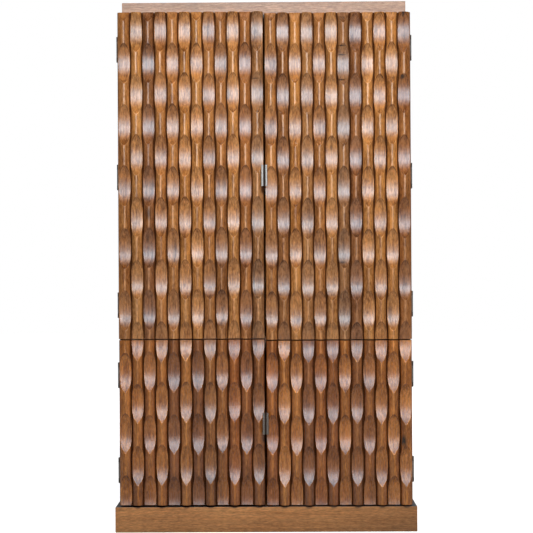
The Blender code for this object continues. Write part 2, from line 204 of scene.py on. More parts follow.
# Node trees
class Shader:
    """Makes and links the nodes of one material or world in few words."""

    def __init__(self, tree):
        self.tree = tree
        tree.nodes.clear()

    def add(self, kind, inputs=None, **settings):
        node = self.tree.nodes.new(kind)
        for name, value in settings.items():
            setattr(node, name, value)
        for name, value in (inputs or {}).items():
            if isinstance(value, bpy.types.NodeSocket):
                self.tree.links.new(value, node.inputs[name])
            else:
                node.inputs[name].default_value = value
        return node

    def place(self):
        return self.add("ShaderNodeTexCoord").outputs["Object"]

    def along(self, axis, vector):
        return self.add("ShaderNodeSeparateXYZ", {0: vector}).outputs[axis]

    def length(self, vector):
        return self.add("ShaderNodeVectorMath", {0: vector}, operation="LENGTH").outputs["Value"]

    def maths(self, operation, first, second=0.0):
        return self.add("ShaderNodeMath", {0: first, 1: second}, operation=operation).outputs[0]

    def vector(self, operation, first, second):
        return self.add("ShaderNodeVectorMath", {0: first, 1: second}, operation=operation).outputs[0]

    def remap(self, value, low, high, out_low=0.0, out_high=1.0):
        sockets = {"Value": value, "From Min": low, "From Max": high, "To Min": out_low, "To Max": out_high}
        return self.add("ShaderNodeMapRange", sockets, clamp=True).outputs[0]

    def mix(self, factor, first, second, blend="MIX"):
        sockets = {0: factor, 6: first, 7: second}
        node = self.add("ShaderNodeMix", sockets, data_type="RGBA", blend_type=blend)
        return node.outputs[2]

    def times(self, tint, factor):
        return self.mix(1.0, tint, factor, "MULTIPLY")

    def noise(self, place, detail, roughness, distortion=0.0):
        sockets = {"Vector": place, "Scale": 1.0, "Detail": detail, "Roughness": roughness}
        sockets["Distortion"] = distortion
        return self.add("ShaderNodeTexNoise", sockets).outputs["Fac"]

    def bump(self, height, strength, distance):
        sockets = {"Height": height, "Strength": strength, "Distance": distance}
        return self.add("ShaderNodeBump", sockets).outputs[0]

    def output(self, surface):
        self.add("ShaderNodeOutputMaterial", {"Surface": surface})

    def principled(self, sockets):
        self.output(self.add("ShaderNodeBsdfPrincipled", sockets).outputs[0])


def new_shader(name):
    material = bpy.data.materials.new(name)
    material.use_nodes = True
    return material, Shader(material.node_tree)


def colour(red, green, blue):
    return (red, green, blue, 1.0)


def shaded(tint, factor):
    return colour(*(min(1.0, factor * level) for level in tint))


# Finishes. Most textures are read between these two levels of their noise
NOISE_RANGE = (0.30, 0.70)

# Textures of wood, as (features a metre across the grain, along it, detail, roughness), some with distortion
WOOD_TEXTURES = {
    "figure": (70.0, 3.2, 4.0, 0.6, 0.6),
    "fibre": (330.0, 9.0, 3.0, 0.6),
    "pores": (900.0, 38.0, 2.0, 0.5),
    "mottle": (16.0, 9.0, 3.0, 0.6),
    "fleck": (210.0, 62.0, 3.0, 0.65),
    "mineral": (42.0, 1.9, 3.0, 0.65, 1.2),
    "warmth": (120.0, 2.6, 3.0, 0.6, 0.4),
    "speckle": (300.0, 52.0, 3.0, 0.7),
}
# How far a texture takes the wood from its light to its dark colour, at its low and at its high level
DEPTH_SHARES = {
    "figure": (-0.08, 0.60),
    "fibre": (-0.10, 0.40),
    "mottle": (-0.22, 0.26),
    "fleck": (-0.38, 0.42),
}
WARM_TINT = (1.05, 0.96, 0.84)
WARM_RANGE = (0.42, 0.62)
STREAK_RANGE = (0.60, 0.74)
STREAK_STRENGTH = 0.62
STREAK_SHADE = 0.45
PORE_RANGE = (0.60, 0.72)
PORE_STRENGTH = 0.45
PORE_SHADE = 0.5
PORE_ROUGHNESS = 0.10
SPECKLE_SHADES = (0.66, 1.34)
STAVE_WIDTH = 0.072
STAVE_OFFSET = (3.0, 3.0, 3.0)
STAVE_SHADES = (0.80, 1.18)
LIGHT_WOOD_SHEEN = 1.15
DARK_WOOD_SHEEN = 0.75
GLOSS_RANGE = (0.25, 0.75)
GLOSS_SPREAD = 0.03
FIBRE_RELIEF = 0.6
WOOD_BUMP = (0.10, 0.0004)
KNOT_COLOUR = (0.030, 0.016, 0.010)
KNOT_RAGGEDNESS = 0.35
KNOT_FADE = (0.45, 1.15)


def stretched(shader, place, grain, across, along):
    """Texture place with this many features a metre across the grain and along it."""
    scale = [along if axis == grain else across for axis in "XYZ"]
    return shader.vector("MULTIPLY", place, scale)


def wood_textures(shader, place, grain):
    """Noise of each kind, stretched along the grain."""
    textures = {}
    for kind, (across, along, *details) in WOOD_TEXTURES.items():
        textures[kind] = shader.noise(stretched(shader, place, grain, across, along), *details)
    return textures


def knotted(shader, place, tint, fleck, marks):
    """A tint with dark knots and checks at their places, ragged like the fleck of the wood."""
    ragged = shader.remap(fleck, *NOISE_RANGE, -KNOT_RAGGEDNESS, KNOT_RAGGEDNESS)
    for x, z, half_width, half_height, darkness in marks:
        away = shader.vector("SUBTRACT", place, (x, 0.0, z))
        away = shader.vector("MULTIPLY", away, (1.0 / half_width, 0.0, 1.0 / half_height))
        distance = shader.maths("ADD", shader.length(away), ragged)
        spot = shader.remap(distance, *KNOT_FADE, darkness, 0.0)
        tint = shader.mix(spot, tint, colour(*KNOT_COLOUR))
    return tint


def wood_material(name, light, dark, grain, roughness, toned=False, stave=None, sheen=0.5, fades=(), calm=1.0,
                  marks=()):
    """Stained, lacquered solid wood whose grain runs along one axis.

    toned reads each piece's tone, with its painted light and shade, and its sheen from its colour attribute.
    stave is the axis across the boards that the piece is glued up from. sheen is how much the lacquer
    mirrors.
    fades holds (axis, low, high, factor at low, factor at high) of colour factors that change along an axis.
    calm below 1 gives fainter streaks and more fine speckle. marks are dark knots and checks as (x, z, half
    width, half height, darkness).
    """
    material, shader = new_shader(name)
    place = shader.place()
    if stave:
        number = shader.maths("FLOOR", shader.maths("DIVIDE", shader.along(stave, place), STAVE_WIDTH))
        stave_tone = shader.add("ShaderNodeTexWhiteNoise", {"W": number}, noise_dimensions="1D").outputs[0]
        place = shader.vector("ADD", place, shader.vector("MULTIPLY", STAVE_OFFSET, stave_tone))
    textures = wood_textures(shader, place, grain)
    depth = 0.0
    for kind, shares in DEPTH_SHARES.items():
        depth = shader.maths("ADD", depth, shader.remap(textures[kind], *NOISE_RANGE, *shares))
    tint = shader.mix(depth, colour(*light), colour(*dark))
    warm = shader.times(tint, colour(*WARM_TINT))
    tint = shader.mix(shader.remap(textures["warmth"], *WARM_RANGE, 0.0, calm), tint, warm)
    streak = shader.remap(textures["mineral"], *STREAK_RANGE, 0.0, STREAK_STRENGTH * calm)
    tint = shader.mix(streak, tint, shaded(dark, STREAK_SHADE))
    pore_mark = shader.remap(textures["pores"], *PORE_RANGE, 0.0, PORE_STRENGTH)
    tint = shader.mix(pore_mark, tint, shaded(dark, PORE_SHADE))
    tint = knotted(shader, place, tint, textures["fleck"], marks)
    if calm < 1.0:
        tint = shader.times(tint, shader.remap(textures["speckle"], *NOISE_RANGE, *SPECKLE_SHADES))
    if toned:
        # the colour attribute brings each slat's tone with its painted light and shade, and its sheen
        stain_and_painted_light = shader.add("ShaderNodeAttribute", attribute_name="tone_and_painted_light").outputs
        tint = shader.times(tint, stain_and_painted_light["Color"])
        wood_sheen = shader.remap(depth, 0.0, 1.0, LIGHT_WOOD_SHEEN * sheen, DARK_WOOD_SHEEN * sheen)
        sheen = shader.maths("MULTIPLY", stain_and_painted_light["Alpha"], wood_sheen)
    if stave:
        tint = shader.times(tint, shader.remap(stave_tone, 0.0, 1.0, *STAVE_SHADES))
    for axis, *levels in fades:
        tint = shader.times(tint, shader.remap(shader.along(axis, place), *levels))
    gloss = shader.remap(textures["fibre"], *GLOSS_RANGE, roughness - GLOSS_SPREAD, roughness + GLOSS_SPREAD)
    gloss = shader.maths("ADD", gloss, shader.remap(textures["pores"], *PORE_RANGE, 0.0, PORE_ROUGHNESS))
    relief = shader.maths("SUBTRACT", shader.maths("MULTIPLY", textures["fibre"], FIBRE_RELIEF), pore_mark)
    normal = shader.bump(relief, *WOOD_BUMP)
    shader.principled({"Base Color": tint, "Roughness": gloss, "Normal": normal, "Specular IOR Level": sheen})
    return material


BRUSH_ACROSS = 2600.0
BRUSH_ALONG = 20.0
BRUSH_NOISE = (2.0, 0.5)
BRUSH_GLOSS = (-0.06, 0.08)
PATINA_SCALE = (170.0, 170.0, 170.0)
PATINA_NOISE = (4.0, 0.6)
PATINA_RANGE = (0.35, 0.70)
PATINA_GLOSS_RANGE = (0.4, 0.8)
PATINA_GLOSS = 0.12
RUBBED_RANGE = (0.52, 0.60)
RUBBED_STRENGTH = 0.5
RUBBED_GAIN = 1.6
METAL_BUMP = (0.04, 0.0001)


def metal_material(name, bright, worn, roughness, brush_axis="Z", metallic=1.0):
    """Brushed metal, bare or lacquered, with a patchy patina that is rubbed off at the edges."""
    material, shader = new_shader(name)
    place = shader.place()
    brush = shader.noise(stretched(shader, place, brush_axis, BRUSH_ACROSS, BRUSH_ALONG), *BRUSH_NOISE)
    patina = shader.noise(shader.vector("MULTIPLY", place, PATINA_SCALE), *PATINA_NOISE)
    edge = shader.add("ShaderNodeNewGeometry").outputs["Pointiness"]
    wear_and_rim_highlight = shader.maths("MULTIPLY", shader.remap(edge, *RUBBED_RANGE), RUBBED_STRENGTH)
    tint = shader.mix(shader.remap(patina, *PATINA_RANGE), colour(*bright), colour(*worn))
    tint = shader.mix(wear_and_rim_highlight, tint, shaded(bright, RUBBED_GAIN))
    gloss = shader.remap(brush, *NOISE_RANGE, *(roughness + change for change in BRUSH_GLOSS))
    gloss = shader.maths("ADD", gloss, shader.remap(patina, *PATINA_GLOSS_RANGE, 0.0, PATINA_GLOSS))
    normal = shader.bump(brush, *METAL_BUMP)
    shader.principled({"Base Color": tint, "Metallic": metallic, "Roughness": gloss, "Normal": normal})
    return material


MOULD_GRAIN_SCALE = (2200.0, 2200.0, 2200.0)
MOULD_GRAIN_NOISE = (2.0, 0.5)
DUST_SCALE = (60.0, 60.0, 60.0)
DUST_NOISE = (4.0, 0.6)
DUST_RANGE = (0.45, 0.75)
DUST_LIFT = 0.03
DUST_GLOSS_RANGE = (0.4, 0.8)
DUST_GLOSS = 0.15
PLASTIC_BUMP = (0.10, 0.0001)


def plastic_material(name, tint, roughness):
    """Moulded plastic with a fine grain and dusty patches."""
    material, shader = new_shader(name)
    place = shader.place()
    grain = shader.noise(shader.vector("MULTIPLY", place, MOULD_GRAIN_SCALE), *MOULD_GRAIN_NOISE)
    dust = shader.noise(shader.vector("MULTIPLY", place, DUST_SCALE), *DUST_NOISE)
    dusty = colour(*(level + DUST_LIFT for level in tint))
    shade = shader.mix(shader.remap(dust, *DUST_RANGE), colour(*tint), dusty)
    gloss = shader.remap(dust, *DUST_GLOSS_RANGE, roughness, roughness + DUST_GLOSS)
    normal = shader.bump(grain, *PLASTIC_BUMP)
    shader.principled({"Base Color": shade, "Roughness": gloss, "Normal": normal})
    return material


# Knots, checks and stained rings in the carved slats, as (x, z, half width, half height, darkness)
KNOTS = (
    (0.4640, 0.3060, 0.0085, 0.0200, 1.00),
    (0.4660, 1.5300, 0.0080, 0.0090, 0.85),
    (0.4700, 1.7420, 0.0040, 0.0130, 0.90),
    (0.2610, 1.6360, 0.0150, 0.0028, 0.80),
    (0.2630, 1.6060, 0.0150, 0.0032, 0.70),
    (0.2620, 1.5210, 0.0150, 0.0030, 0.80),
    (0.2600, 0.9060, 0.0130, 0.0050, 0.55),
    (-0.0300, 1.5280, 0.0140, 0.0030, 0.65),
    (-0.3900, 1.0740, 0.0080, 0.0240, 0.60),
    (-0.3950, 0.9900, 0.0060, 0.0160, 0.45),
    (-0.0270, 0.7900, 0.0080, 0.0060, 0.55),
    (0.2260, 1.2930, 0.0060, 0.0120, 0.45),
)

# Colours of the materials: light and dark of the woods, bright and worn of the metals
SLAT_TINTS = ((0.58, 0.264, 0.094), (0.19, 0.072, 0.023))
GROOVE_TINTS = ((0.110, 0.040, 0.014), (0.060, 0.020, 0.007))
CASE_TINTS = ((0.40, 0.185, 0.078), (0.22, 0.090, 0.034))
# The top's colour is partly its own paler wood and partly a painted highlight of the lamps on its front
TOP_TINTS_WITH_HIGHLIGHT = ((0.51, 0.288, 0.168), (0.34, 0.175, 0.093))
PLINTH_TINTS = ((0.70, 0.328, 0.116), (0.467, 0.195, 0.061))
# Painted shade: the plinth's top is dark grey, so the gap under the doors reads as shadow
PLINTH_TOP_SHADE_TINTS = ((0.085, 0.088, 0.096), (0.050, 0.052, 0.057))
INNER_TINTS = ((0.42, 0.220, 0.105), (0.27, 0.125, 0.055))
HINGE_TINTS = ((0.062, 0.050, 0.040), (0.030, 0.024, 0.019))
# Painted reflection: a paler copy of the hinge bronze for the door leaves, so their middle knuckle shows pale
LIT_HINGE_TINTS = ((0.20, 0.175, 0.15), (0.11, 0.095, 0.08))
UPPER_PULL_TINTS = ((0.230, 0.176, 0.144), (0.167, 0.128, 0.104))
# Painted shade: the lower pulls are a darker copy of the pulls' steel
LOWER_PULL_SHADE_TINTS = ((0.185, 0.142, 0.116), (0.134, 0.103, 0.084))
STRIKE_TINTS = ((0.56, 0.56, 0.55), (0.42, 0.42, 0.41))
CATCH_TINT = (0.045, 0.028, 0.018)

SLAT_SHEEN = 0.95
PLINTH_ROUGHNESS = 0.36
PLINTH_CALM = 0.55
# Painted shade: the plinth darkens towards the floor. The next fade darkens it towards the right end
PLINTH_FLOOR_SHADE = ("Z", 0.0, 0.085, 0.69, 1.02)
PLINTH_RIGHT_FADE = ("X", 0.05, 0.50, 1.0, 0.74)


def carved_wood(name, roughness):
    return wood_material(name, *SLAT_TINTS, "Z", roughness, toned=True, sheen=SLAT_SHEEN, marks=KNOTS)


def plinth_wood(name, grain, *fades):
    return wood_material(name, *PLINTH_TINTS, grain, PLINTH_ROUGHNESS, fades=fades, calm=PLINTH_CALM)


materials = {
    "lower_slat": carved_wood("lower_carved_wood", roughness=0.27),
    "upper_slat": carved_wood("upper_carved_wood", roughness=0.23),
    "groove": wood_material("groove_wood", *GROOVE_TINTS, grain="Z", roughness=0.60, sheen=0.1),
    "door": wood_material("door_wood", *CASE_TINTS, grain="Z", roughness=0.36, stave="X"),
    "side": wood_material("side_wood", *CASE_TINTS, grain="Z", roughness=0.33, stave="Y"),
    "across": wood_material("across_wood", *CASE_TINTS, grain="X", roughness=0.33, stave="Y"),
    # the top's wood, partly with a painted highlight in its colour
    "top": wood_material("top_wood", *TOP_TINTS_WITH_HIGHLIGHT, grain="X", roughness=0.29, stave="Y", sheen=0.44, calm=0.4),
    # the plinth's wood, with painted shade towards the floor
    "plinth": plinth_wood("plinth_front_wood", "X", PLINTH_FLOOR_SHADE, PLINTH_RIGHT_FADE),
    "plinth_side": plinth_wood("plinth_side_wood", "Y", PLINTH_FLOOR_SHADE),
    # painted shade on the plinth's top, for the shadow in the gap under the doors
    "painted_plinth_shade": wood_material("plinth_top_painted_shade", *PLINTH_TOP_SHADE_TINTS, grain="X", roughness=0.50, sheen=0.3),
    "shelf": wood_material("shelf_wood", *INNER_TINTS, grain="X", roughness=0.45, stave="Y"),
    "back": wood_material("back_wood", *INNER_TINTS, grain="Z", roughness=0.55),
    "hinge": metal_material("hinge_bronze", *HINGE_TINTS, roughness=0.50, metallic=0.4),
    # painted reflection: the door leaves' paler copy of the hinge bronze
    "hinge_lit": metal_material("hinge_lit_bronze", *LIT_HINGE_TINTS, roughness=0.42, metallic=0.7),
    "upper_pull": metal_material("pull_steel", *UPPER_PULL_TINTS, roughness=0.28, metallic=0.75),
    # painted shade: a darker copy of the pulls' steel for the lower pulls
    "lower_pull": metal_material("pull_steel_painted_shade", *LOWER_PULL_SHADE_TINTS, roughness=0.28, metallic=0.75),
    "strike": metal_material("strike_zinc", *STRIKE_TINTS, roughness=0.30, brush_axis="X"),
    "catch": plastic_material("catch_brown_plastic", CATCH_TINT, roughness=0.42),
}

# Pieces
MERGE_DISTANCE = 1e-6
FLAT_ANGLE = math.radians(1.0)
LEAST_ROUNDED_ANGLE = math.radians(30.0)
ROUND_PROFILE = 0.5
FACING_UP = 0.9


def body_of(node):
    return frame["nodes"][node]["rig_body"]


def add_piece(name, mesh, material, body, nodes):
    """Puts a mesh in the scene, on a body, in place of the CAD nodes that it stands for."""
    piece = bpy.data.objects.new(name, mesh)
    bpy.context.scene.collection.objects.link(piece)
    if not mesh.materials:
        mesh.materials.append(materials[material])
    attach(piece, body)
    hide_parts(*nodes)


def finished_mesh(name, bm, smooth_angle=None):
    bmesh.ops.recalc_face_normals(bm, faces=bm.faces)
    mesh = bpy.data.meshes.new(name)
    bm.to_mesh(mesh)
    bm.free()
    if smooth_angle is not None:
        mesh.shade_smooth()
        mesh.set_sharp_from_angle(angle=math.radians(smooth_angle))
    return mesh


def join_rings(bm, rings):
    """Closes a skin over rings of vertices, and gives its two end faces."""
    for ring, following in zip(rings, rings[1:]):
        for here in range(len(ring)):
            after = (here + 1) % len(ring)
            bm.faces.new((ring[here], ring[after], following[after], following[here]))
    return [bm.faces.new(ring) for ring in (rings[0], rings[-1])]


def bevel_edges(bm, edges, width, segments=2):
    options = {"segments": segments, "profile": ROUND_PROFILE, "affect": "EDGES", "clamp_overlap": True}
    bmesh.ops.bevel(bm, geom=edges, offset=width, **options)


def softened_copy(node, edge_width, segments=2):
    """Mesh of a CAD solid with softened edges, still open to changes."""
    bm = bmesh.new()
    bm.from_mesh(frame["nodes"][node].data)
    bmesh.ops.remove_doubles(bm, verts=bm.verts, dist=MERGE_DISTANCE)
    bmesh.ops.dissolve_limit(bm, angle_limit=FLAT_ANGLE, verts=bm.verts, edges=bm.edges)
    convex = [edge for edge in bm.edges if len(edge.link_faces) == 2 and edge.is_convex]
    sharp = [edge for edge in convex if edge.calc_face_angle(0.0) > LEAST_ROUNDED_ANGLE]
    bevel_edges(bm, sharp, edge_width, segments)
    return bm


def dress_node(node, material, edge_width, top_material=None):
    """A copy of a CAD solid with softened edges, which stands for it."""
    name = f"{node}_dressed"
    mesh = finished_mesh(name, softened_copy(node, edge_width))
    mesh.materials.append(materials[material])
    if top_material:
        mesh.materials.append(materials[top_material])
        for face in mesh.polygons:
            face.material_index = 1 if face.normal.z > FACING_UP else 0
    add_piece(name, mesh, material, body_of(node), [node])


def prism_mesh(name, outline, low, high, edge_width=0.0, smooth_angle=None):
    """An outline in plan, drawn up between two heights."""
    bm = bmesh.new()
    ends = join_rings(bm, [[bm.verts.new((x, y, level)) for x, y in outline] for level in (low, high)])
    bmesh.ops.recalc_face_normals(bm, faces=bm.faces)
    if edge_width:
        bevel_edges(bm, [edge for end in ends for edge in end.edges], edge_width)
    return finished_mesh(name, bm, smooth_angle)


# Carved slats
def fade(distance, length):
    """1 at the start, and evenly less to 0 at this length."""
    return max(0.0, 1.0 - distance / length)


def lens_half_width(cut):
    """Half the width of the flat that a scoop of this depth leaves across the roof."""
    share = min(1.0, cut / SCOOP_DEPTH)
    return CREST_HALF + (LENS_HALF - CREST_HALF) * (1.0 - (1.0 - share) ** LENS_FULLNESS)


def roof_depth(distance, cut):
    """Depth below the crest at a distance from its middle, on the roof beside a scoop of this depth."""
    share = min(1.0, max(0.0, distance - CREST_HALF) / (LENS_HALF - CREST_HALF))
    return max(cut, SCOOP_DEPTH * (1.0 - (1.0 - share) ** (1.0 / LENS_FULLNESS)))


def waisted_wall(cut, reach):
    """Distance of a slat's side from its middle: waisted at the ridges and full at the scoops."""
    lens = lens_half_width(cut) + WALL_MARGIN
    apart = lens - RIDGE_HALF
    return min(reach, 0.5 * (lens + RIDGE_HALF + math.sqrt(apart * apart + WALL_BLEND**2)))


def flat_painted_light(cut, row):
    """Painted light on the flat: a painted highlight makes the crest palest, and the scoops take their row's
    factor.
    """
    return SCOOP_PAINTED_LIGHT[row] + (CREST_PAINTED_HIGHLIGHT[row] - SCOOP_PAINTED_LIGHT[row]) * fade(cut, CREST_HIGHLIGHT_DEPTH)


def half_section(cut, wall, row, marks):
    """One side of a slat's outline from its back corner to its middle, as (distance, depth, painted light,
    sheen).
    """
    painted_shade, line, rim, narrow = marks
    stains_and_painted_light = RIDGE_PAINTED_LIGHT[row]
    edge = narrow * min(lens_half_width(cut), wall - WALL_MARGIN)
    beside_cut = cut if narrow == 1.0 else 0.0
    outer = edge + 0.5 * EDGE_ROUND
    inner = edge - EDGE_ROUND
    shoulder = max(outer + LEAST_ROOF, wall - SHOULDER_ROUND)
    turn = wall - shoulder
    low = roof_depth(shoulder, cut) + SHOULDER_DROP
    # painted shade from the bottom of the groove up the shoulder, then up the roof to the crest's edge
    outline = [(wall, SLAT_THICKNESS, stains_and_painted_light[0], GROOVE_SHEEN)]
    for (inward, down, sheen), stain_and_painted_light in zip(SHOULDER_POINTS, stains_and_painted_light[1:]):
        outline.append((wall - inward * turn, low + down * turn, stain_and_painted_light, sheen))
    for share, stain_and_painted_light in zip(ROOF_SHARES, stains_and_painted_light[5:]):
        distance = shoulder + (outer - shoulder) * share
        outline.append((distance, roof_depth(distance, beside_cut) + ROOF_DROP, stain_and_painted_light, 1.0))
    # the roof's edge takes the rim's painted highlight, less part of the outline's painted shade
    edge_painted_light = stains_and_painted_light[7] * (1.0 + rim) * (1.0 - LINE_ON_ROOF * line)
    outline.append((outer, roof_depth(outer, beside_cut) + ROOF_DROP, edge_painted_light, 1.0))
    painted_flat_light = flat_painted_light(cut, row)
    shine = SCOOP_SHEEN[row] if cut > 0.0 else CREST_SHEEN[row]
    # the flat's edge takes the painted shade of the scoop's ends and outline, and the rim's painted highlight
    outlined_shade = painted_flat_light * (1.0 - max(PAINTED_SHADE_STRENGTH * painted_shade, LINE_STRENGTH * line))
    plain = painted_flat_light * (1.0 - PAINTED_SHADE_STRENGTH * painted_shade)
    beside = inner - min(RIM_WIDTH, RIM_MOST_SHARE * inner)
    for distance, (more_painted_light, more_sheen) in ((inner, EDGE_RIM), (beside, BESIDE_RIM)):
        outline.append((distance, cut, outlined_shade * (1.0 + more_painted_light * rim), shine * (1.0 + more_sheen * rim)))
    within = inner - min(LINE_WIDTH, LINE_MOST_SHARE * inner)
    outline.append((within, cut, plain, shine))
    outline.append((0.5 * within, cut, plain, shine))
    return outline


def section(cut, walls, row, marks, inset):
    """Outline of a slat from its back left corner over the front to its back right corner."""
    sides = []
    for wall in walls:
        shrink = 1.0 - inset / wall
        side = []
        for x, depth, stain_and_painted_light, shine in half_section(cut, wall, row, marks):
            side.append((shrink * x, min(depth + inset, SLAT_THICKNESS), stain_and_painted_light, shine))
        sides.append(side)
    left = [(-x, depth, stain_and_painted_light, shine) for x, depth, stain_and_painted_light, shine in sides[0]]
    middle = (0.0, cut + inset) + sides[0][-1][2:]
    return left + [middle] + sides[1][::-1]


def scoops_along(low, high, first_middle, row, rng):
    """Scoops between two heights, as (middle, reach down, reach up, depth, painted arch shade, painted foot
    shade, painted rim highlight).
    """
    count_low = math.floor((low - first_middle) / SCOOP_SPACING) - 1
    count_high = math.ceil((high - first_middle) / SCOOP_SPACING) + 1
    scoops = []
    for count in range(count_low, count_high + 1):
        middle = first_middle + count * SCOOP_SPACING + rng.uniform(-1, 1) * SCOOP_SHIFT_SPREAD
        half = 0.5 * SCOOP_LENGTH * (1 + rng.uniform(-1, 1) * SCOOP_LENGTH_SPREAD)
        depth = SCOOP_DEPTH * (1 + rng.uniform(-1, 0) * SCOOP_DEPTH_SPREAD)
        stain_and_painted_light = ARCH_PAINTED_SHADE_LEAST + ARCH_PAINTED_SHADE_SPREAD * rng.random()
        foot = FOOT_PAINTED_SHADE_LEAST + FOOT_PAINTED_SHADE_SPREAD * rng.random() ** 2
        scoops.append((middle, half, half + ARCH_EXTRA, depth, stain_and_painted_light, foot, rng.uniform(*RIM_PAINTED_HIGHLIGHT[row])))
    return scoops


def scoop_at(level, scoops, row):
    """Depth that the scoops take off the crest at a height, and (painted shade, painted outline, painted rim
    highlight, narrowing) there.
    """
    for middle, down, up, depth, stain_and_painted_light, foot, rim in scoops:
        offset = level - middle
        if -down < offset < up:
            half, sweep = (up, SWEEP_UP) if offset > 0.0 else (down, SWEEP_DOWN[row])
            to_tip = half - abs(offset)
            # painted shade under the arch and at the foot, less the painted light on the scoop's upper half
            under_arch = stain_and_painted_light * fade(up - offset, ARCH_PAINTED_SHADE_LENGTH)
            at_foot = foot * fade(down + offset, FOOT_PAINTED_SHADE_LENGTH)
            painted_shade = max(under_arch, at_foot) - SCOOP_PAINTED_LIFT[row] * max(0.0, offset / up)
            line = (stain_and_painted_light if offset > 0.0 else foot) * min(1.0, LINE_GAIN * fade(to_tip, LINE_LENGTH))
            # painted highlight on the rim near the tips, weaker under the arch
            wear_and_rim_highlight = rim * fade(to_tip, RIM_LENGTH[row])
            narrow = 1.0
            if offset > 0.0:
                wear_and_rim_highlight *= ARCH_RIM
            else:
                narrow -= (1.0 - TIP_NARROW[row]) * (1.0 - min(1.0, to_tip / TIP_LENGTH) ** TIP_POWER)
            return depth * (1.0 - (abs(offset) / half) ** sweep), (painted_shade, line, wear_and_rim_highlight, narrow)
    return 0.0, (0.0, 0.0, 0.0, 1.0)


def painted_light_at(level):
    """Factor of the painted light and shade on the slats at a height."""
    for (below, lower_shade), (above, upper_shade) in zip(PAINTED_LIGHT_LEVELS, PAINTED_LIGHT_LEVELS[1:]):
        if level <= above:
            return lower_shade + (upper_shade - lower_shade) * (level - below) / (above - below)
    return PAINTED_LIGHT_LEVELS[-1][1]


def slat_levels(low, high, scoops):
    """Heights of a slat's cross sections, close together at the tips of the scoops."""
    levels = [low, low + END_CHAMFER, high - END_CHAMFER, high]
    inside = []
    for (middle, down, up, *_), following in zip(scoops, scoops[1:] + [None]):
        for step in range(SCOOP_STATIONS + 1):
            share = math.sin(0.5 * math.pi * (2 * step / SCOOP_STATIONS - 1))
            inside.append(middle + share * (up if share > 0.0 else down))
        inside += [middle - down - TIP_STEP, middle + up + TIP_STEP]
        if following:
            ridge_low = middle + up
            ridge_high = following[0] - following[1]
            steps = max(1, round((ridge_high - ridge_low) / RIDGE_STEP))
            inside += [ridge_low + (ridge_high - ridge_low) * step / steps for step in range(1, steps)]
    margin = 2 * END_CHAMFER
    levels += [level for level in inside if low + margin < level < high - margin]
    return sorted(levels)


def slat_mesh(name, row_name, place, reaches, straight, scoop_shift, tone_and_painted_light, rng):
    """One carved slat, closed all round, with its tone and its painted light and shade as a colour attribute.

    place is (middle x, front y, low z, high z). reaches holds how far each side may go, and straight tells
    whether that side runs straight along the edge of the door.
    """
    middle_x, front, low, high = place
    scoops = scoops_along(low, high, FIRST_SCOOP_HEIGHT + scoop_shift, row_name, rng)
    phase = rng.uniform(0.0, 2 * math.pi)
    bm = bmesh.new()
    rings = []
    stains_and_painted_light = []
    for level in slat_levels(low, high, scoops):
        inset = END_CHAMFER if level in (low, high) else 0.0
        wander = CREST_WANDER * math.sin(2 * math.pi * level / CREST_WANDER_LENGTH + phase)
        cut, marks = scoop_at(level, scoops, row_name)
        shade = painted_light_at(level)
        walls = [reach if plain else waisted_wall(cut, reach) for reach, plain in zip(reaches, straight)]
        ring = []
        for x, depth, stain_and_painted_light, shine in section(cut, walls, row_name, marks, inset):
            drift = wander * (1.0 - min(1.0, abs(x) / RIDGE_HALF))
            ring.append(bm.verts.new((middle_x + x + drift, front + depth, level)))
            # painted highlight: the crest shows less of the slat's tone
            held = 1.0 - CREST_HIGHLIGHT_WASHOUT[row_name] if cut == 0.0 and abs(x) < WASHOUT_HALF else 1.0
            # the chamfered ends of the slat get painted shade and little sheen
            if inset:
                stain_and_painted_light, shine = END_PAINTED_SHADE, GROOVE_SHEEN
            stains_and_painted_light += [shade * part**held * stain_and_painted_light**power for part, power in zip(tone_and_painted_light, PAINTED_LIGHT_POWERS)]
            stains_and_painted_light.append(shine)
        rings.append(ring)
    join_rings(bm, rings)
    mesh = finished_mesh(name, bm, SLAT_SMOOTH_ANGLE)
    mesh.color_attributes.new("tone_and_painted_light", "FLOAT_COLOR", "POINT").data.foreach_set("color", stains_and_painted_light)
    return mesh


def groove_back_mesh(name, low, high):
    """The dark web behind the slats, scored along the line between each two of them."""
    pitch = (high.x - low.x) / SLATS_PER_DOOR
    front = [(low.x, low.y)]
    for number in range(1, SLATS_PER_DOOR):
        x = low.x + number * pitch
        front += [(x - GROOVE_SCORE_HALF, low.y), (x, low.y + GROOVE_SCORE), (x + GROOVE_SCORE_HALF, low.y)]
    outline = front + [(high.x, low.y), (high.x, high.y), (low.x, high.y)]
    return prism_mesh(name, outline, low.z, high.z)


